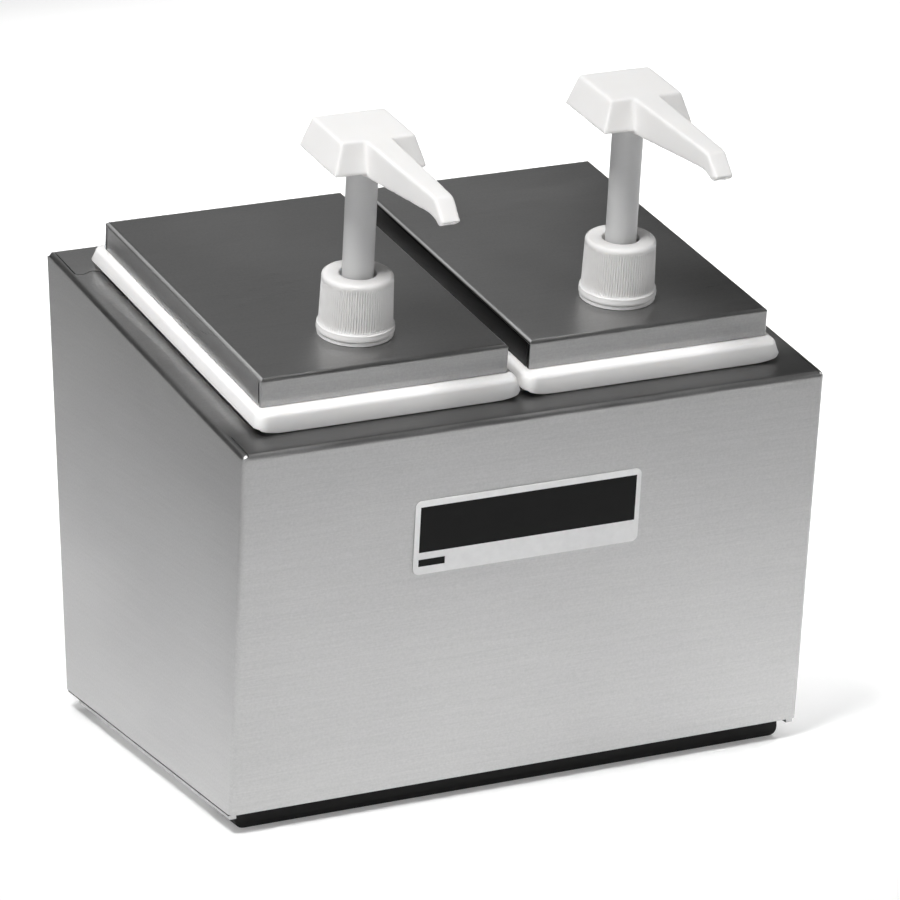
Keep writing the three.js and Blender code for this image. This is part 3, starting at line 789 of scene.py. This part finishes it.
def cap_profile():
    """The cap's closed outline: from the bore up the flange, wall and shoulder and back inside."""
    foot, top, edge, round_top = CAP_FOOT, CAP_TOP, CAP_EDGE, CAP_SHOULDER
    profile = [(CAP_BORE, foot), (CAP_BORE + 0.4, foot), (CAP_FLANGE - edge, foot)]
    profile += arc((CAP_FLANGE - edge, foot + edge), edge, -60, 0, 3)
    profile += [(CAP_FLANGE, foot + 1.6), (CAP_FLANGE - edge / 2, foot + 2.2)]
    profile += arc((CAP_LOWER + CAP_FILLET, RIB_LOW + 0.2), CAP_FILLET, 250, 180, 5)
    wall_foot = RIB_LOW + 0.25
    for i in range(RIB_ROWS + 1):
        share = i / RIB_ROWS
        radius = CAP_LOWER + (CAP_UPPER - CAP_LOWER) * share
        profile.append((radius, wall_foot + (RIB_HIGH - wall_foot) * share))
    profile += [(CAP_UPPER, RIB_HIGH + 0.3)]
    profile += arc((CAP_UPPER - round_top, top - round_top), round_top, 8, 90, 6)
    profile += [(CAP_MOUTH + edge, top), (CAP_MOUTH, top - edge)]
    return profile + [(CAP_MOUTH, top - CAP_ROOF), (CAP_BORE, top - CAP_ROOF)]


def make_cap(side):
    """A screw cap: smooth foot flange, finely ribbed wall, smooth rounded shoulder."""
    loops = turned(cap_profile(), RIBS * RIB_POINTS, rib_wave)
    cap = piece(f"{side}_cap_ribbed", lofted(loops, closed=True), pump_place(side), 60)
    finish_piece(cap, f"{side}_cap_body", cap_plastic, "cap_plastic", f"{side}_pump_cap")


def make_stem(side):
    """The stem tube, with softened ends."""
    low, high = deck_box(f"{side}_pump_stem")
    base = deck_box(f"{side}_lid")[1].z
    foot, top = low.z - base, high.z - base
    inner, outer, edge = STEM_BORE, STEM_RADIUS, STEM_EDGE
    profile = [(inner, foot + edge), (inner + edge, foot), (outer - edge, foot)]
    profile += [(outer, foot + edge), (outer, top - edge), (outer - edge, top)]
    profile += [(inner + edge, top), (inner, top - edge)]
    tube = lofted(turned(profile, 72), closed=True)
    stem = piece(f"{side}_stem_tube", tube, pump_place(side), 40)
    finish_piece(stem, f"{side}_plunger_body", stem_plastic, "stem_plastic", f"{side}_pump_stem")


# ---------------------------------------------------------------- pump head

# Heights are below the head's top, and lengths forward of the stem's axis are negative.
HEAD_TOP = 18.4, 18.5, -16.4            # half width, back and front of its top face
HEAD_FOOT = 23.3, 22.0, -21.2           # and of its open foot
HEAD_HEIGHT = 15.3
HEAD_WALL = 2.4
HEAD_SMOOTHING = 55                     # rounds of smoothing on the even skin
HEAD_VOXEL = 0.42
BOSS_RADIUS, BOSS_FOOT = 9.6, -19       # the boss round the stem's socket
SOCKET_RADIUS, SOCKET_TOP = 7.8, -9
BORE_RADIUS = 1.9
MOUTH, MOUTH_TILT = (0, -96.2, -10.4), -35          # the bore's place and tilt at the tip
SPOUT_BACK, SPOUT_TOP, SPOUT_DROP = 7, -0.05, -19
SPOUT_ROOT, SPOUT_TIP = 7.5, 4.6        # half its width in the hood and at the tip
SPOUT_TAPER = 98.8                      # length over which it narrows
SPOUT_UNDERSIDE = [(-5, SPOUT_DROP), (-13, -18.5), (-22, -17.2), (-80, -10), (-86, -9.6),
                   (-90, -10.4), (-93.6, -12.2)]
SPOUT_LIPS = {"left": [(-98.6, -8.9)], "right": [(-94.6, -12.1), (-97.9, -9.9), (-98.3, -8.6)]}
SPOUT_NOSE = [(-90.3, -1.8), (-88.6, -0.5), (-85, SPOUT_TOP)]


def frustum(shrink, top, bottom):
    """The hood's block, from its larger foot rectangle up to its top rectangle."""
    loops = []
    for (half, back, front), z in ((HEAD_FOOT, bottom), (HEAD_TOP, top)):
        half, back, front = half - shrink, back - shrink, front + shrink
        loops.append([(-half, front, z), (half, front, z), (half, back, z), (-half, back, z)])
    return lofted(loops)


def spout_block(side):
    """The spout's side outline, given a width that narrows towards the tip."""
    outline = [(SPOUT_BACK, SPOUT_TOP), (SPOUT_BACK, SPOUT_DROP)]
    outline += SPOUT_UNDERSIDE + SPOUT_LIPS[side] + SPOUT_NOSE
    loops = []
    for sign in (-1, 1):
        loop = []
        for y, z in outline:
            along = min(1, max(0, -y / SPOUT_TAPER))
            loop.append((sign * (SPOUT_ROOT + (SPOUT_TIP - SPOUT_ROOT) * along), y, z))
        loops.append(loop)
    return lofted(loops)


def soften(obj):
    """One even skin over a sharp solid, with its edges and inner corners smoothed round."""
    skin = obj.modifiers.new("skin", "REMESH")
    skin.mode = "VOXEL"
    skin.voxel_size = HEAD_VOXEL * MM
    smooth = obj.modifiers.new("smooth", "SMOOTH")
    smooth.factor = 0.5
    smooth.iterations = HEAD_SMOOTHING
    return bake_modifiers(obj, 60)


def make_head(side):
    """The hood, its socket and the spout as one soft-edged moulding with a bore at the tip."""
    top = deck_box(f"{side}_pump_head")[1].z - deck_box(f"{side}_lid")[1].z
    place = pump_place(side) @ Matrix.Translation((0, 0, top))
    hood = piece(f"{side}_head_moulding", frustum(0, 0, -HEAD_HEIGHT), place)
    hollow = piece("hollow", frustum(HEAD_WALL, -HEAD_WALL, -HEAD_HEIGHT - 0.5), place)
    combine(hood, "DIFFERENCE", hollow)
    boss = piece("boss", rod(BOSS_RADIUS, BOSS_FOOT, -1), place)
    combine(hood, "UNION", boss, piece("spout", spout_block(side), place))
    socket = piece("socket", rod(SOCKET_RADIUS, -REACH, SOCKET_TOP), place)
    bore = rod(BORE_RADIUS, -12, 2, 24)
    tilt = Matrix.Rotation(math.radians(MOUTH_TILT), 4, "X")
    bmesh.ops.transform(bore, matrix=Matrix.Translation(MOUTH) @ tilt, verts=bore.verts)
    combine(hood, "DIFFERENCE", socket, piece("bore", bore, place))
    soften(hood)
    finish_piece(hood, f"{side}_head_body", head_plastic, "pump_plastic", f"{side}_pump_head")


# ---------------------------------------------------------------- CAD nodes that stay

def dress(name, material):
    """A procedural material for a CAD node whose shape is kept."""
    data = frame["nodes"][name].data
    data.materials.clear()
    data.materials.append(material)


def dress_kept_nodes():
    """The pan, the rail, the screws and the pump parts inside keep their CAD shapes."""
    dress("bottom_pan", case_steel)
    dress("center_rail", case_steel)
    for name in sorted(frame["nodes"]):
        if name.startswith("rail_screw"):
            dress(name, spring_wire)
    looks = {
        "neck_bushing": head_plastic, "neck_nut": head_plastic, "guide_collar": cap_plastic,
        "pump_barrel": barrel_plastic, "piston": barrel_plastic, "dip_tube": barrel_plastic,
        "outlet_ball": spring_wire, "inlet_ball": spring_wire, "pump_spring": spring_wire,
    }
    for side in SIDES:
        for part, material in looks.items():
            dress(f"{side}_{part}", material)


# ---------------------------------------------------------------- studio

FLOOR_SIZE = 9000
FLOOR_GLOW = 0.2
SKY_STRENGTH = 0.035


def make_floor():
    """A wide pale floor that glows a little, so that it and the background stay white."""
    bm = bmesh.new()
    bmesh.ops.create_grid(bm, x_segments=8, y_segments=8, size=FLOOR_SIZE)
    floor = piece("studio_floor", bm, ROW)
    look = Look("floor_pale_paper")
    place = look.place()
    fibres = look.noise(place, 300, 4.0)
    look.link(look.tint(look.spread(fibres, 0, 1), grey(0.84), grey(0.86)), "Base Color")
    look.link(look.spread(fibres, 0.85, 0.95), "Roughness")
    look.shader.inputs["Emission Color"].default_value = (1, 1, 1, 1)
    look.shader.inputs["Emission Strength"].default_value = FLOOR_GLOW
    floor.data.materials.append(look.material)


def add_light(data, place, aim):
    """A lamp at a place, in metres, turned towards another."""
    light = bpy.data.objects.new(data.name, data)
    light.location = place
    direction = Vector(aim) - Vector(place)
    light.rotation_euler = direction.to_track_quat("-Z", "Y").to_euler()
    bpy.context.scene.collection.objects.link(light)


def soft_light(name, power, size, place, aim):
    """A rectangular lamp."""
    data = bpy.data.lights.new(name, "AREA")
    data.shape = "RECTANGLE"
    data.size, data.size_y = size
    data.energy = power
    add_light(data, place, aim)


def soft_spot(name, power, radius, spread, place, aim):
    """A round lamp whose pool of light, spread degrees wide, fades out to its edge."""
    data = bpy.data.lights.new(name, "SPOT")
    data.energy = power
    data.shadow_soft_size = radius
    data.spot_size = math.radians(spread)
    data.spot_blend = 1.0
    add_light(data, place, aim)


def make_lights():
    """Pools of light on the object, behind it and to its right, a faint card and weak fills."""
    soft_spot("key_overhead", 158, 0.35, 46, (-0.75, -0.6, 1.9), (0, -0.02, 0.1))
    soft_spot("background_pool", 560, 0.3, 42, (0.8, 1.4, 3.2), (0.52, 1.1, 0))
    soft_light("faint_card", 1.7, (1.6, 1.6), (0.55, 2.2, 1.9), (0, 0, 0.25))
    soft_light("left_fill", 13, (1.2, 1.2), (-2.2, -0.5, 1.1), (0, 0, 0.15))
    soft_light("front_fill", 7, (1.4, 1.0), (-0.6, -3.0, 0.9), (0, 0, 0.15))
    soft_light("right_fill", 7, (0.9, 0.9), (1.7, -0.4, 1.0), (0.36, 0.02, 0))
    soft_spot("right_floor_pool", 225, 0.15, 18, (1.9, 0.4, 1.6), (0.42, 0.15, 0))
    world = bpy.data.worlds.new("studio_world")
    world.use_nodes = True
    sky = world.node_tree.nodes["Background"]
    sky.inputs["Color"].default_value = (1, 1, 1, 1)
    sky.inputs["Strength"].default_value = SKY_STRENGTH
    bpy.context.scene.world = world


CAMERA = {"azimuth": -24.22, "elevation": 15.93, "roll": -1.44, "lens": 221.25,
          "place": (-1.0555, -2.3371, 0.8844)}


def make_camera():
    """A long lens that looks down on the front and the left side."""
    data = bpy.data.cameras.new("camera")
    data.sensor_width = 36
    data.lens = CAMERA["lens"]
    data.clip_start, data.clip_end = 0.05, 60
    camera = bpy.data.objects.new("camera", data)
    turn = Matrix.Rotation(math.radians(CAMERA["azimuth"]), 4, "Z")
    tilt = Matrix.Rotation(math.radians(90 - CAMERA["elevation"]), 4, "X")
    roll = Matrix.Rotation(math.radians(CAMERA["roll"]), 4, "Z")
    camera.matrix_world = Matrix.Translation(CAMERA["place"]) @ turn @ tilt @ roll
    bpy.context.scene.collection.objects.link(camera)
    bpy.context.scene.camera = camera
    bpy.context.scene.view_settings.view_transform = "Standard"


make_case()
rail_piece("front_rail_moulding", "front_rail", FRONT_RAIL_ROUND)
rail_piece("rear_rail_moulding", "rear_rail", REAR_RAIL_ROUND)
pan_joint_strips()
make_badge()
for side in SIDES:
    make_jar(side)
    make_lid(side)
    make_cap(side)
    make_stem(side)
    make_head(side)
dress_kept_nodes()
make_floor()
make_lights()
make_camera()
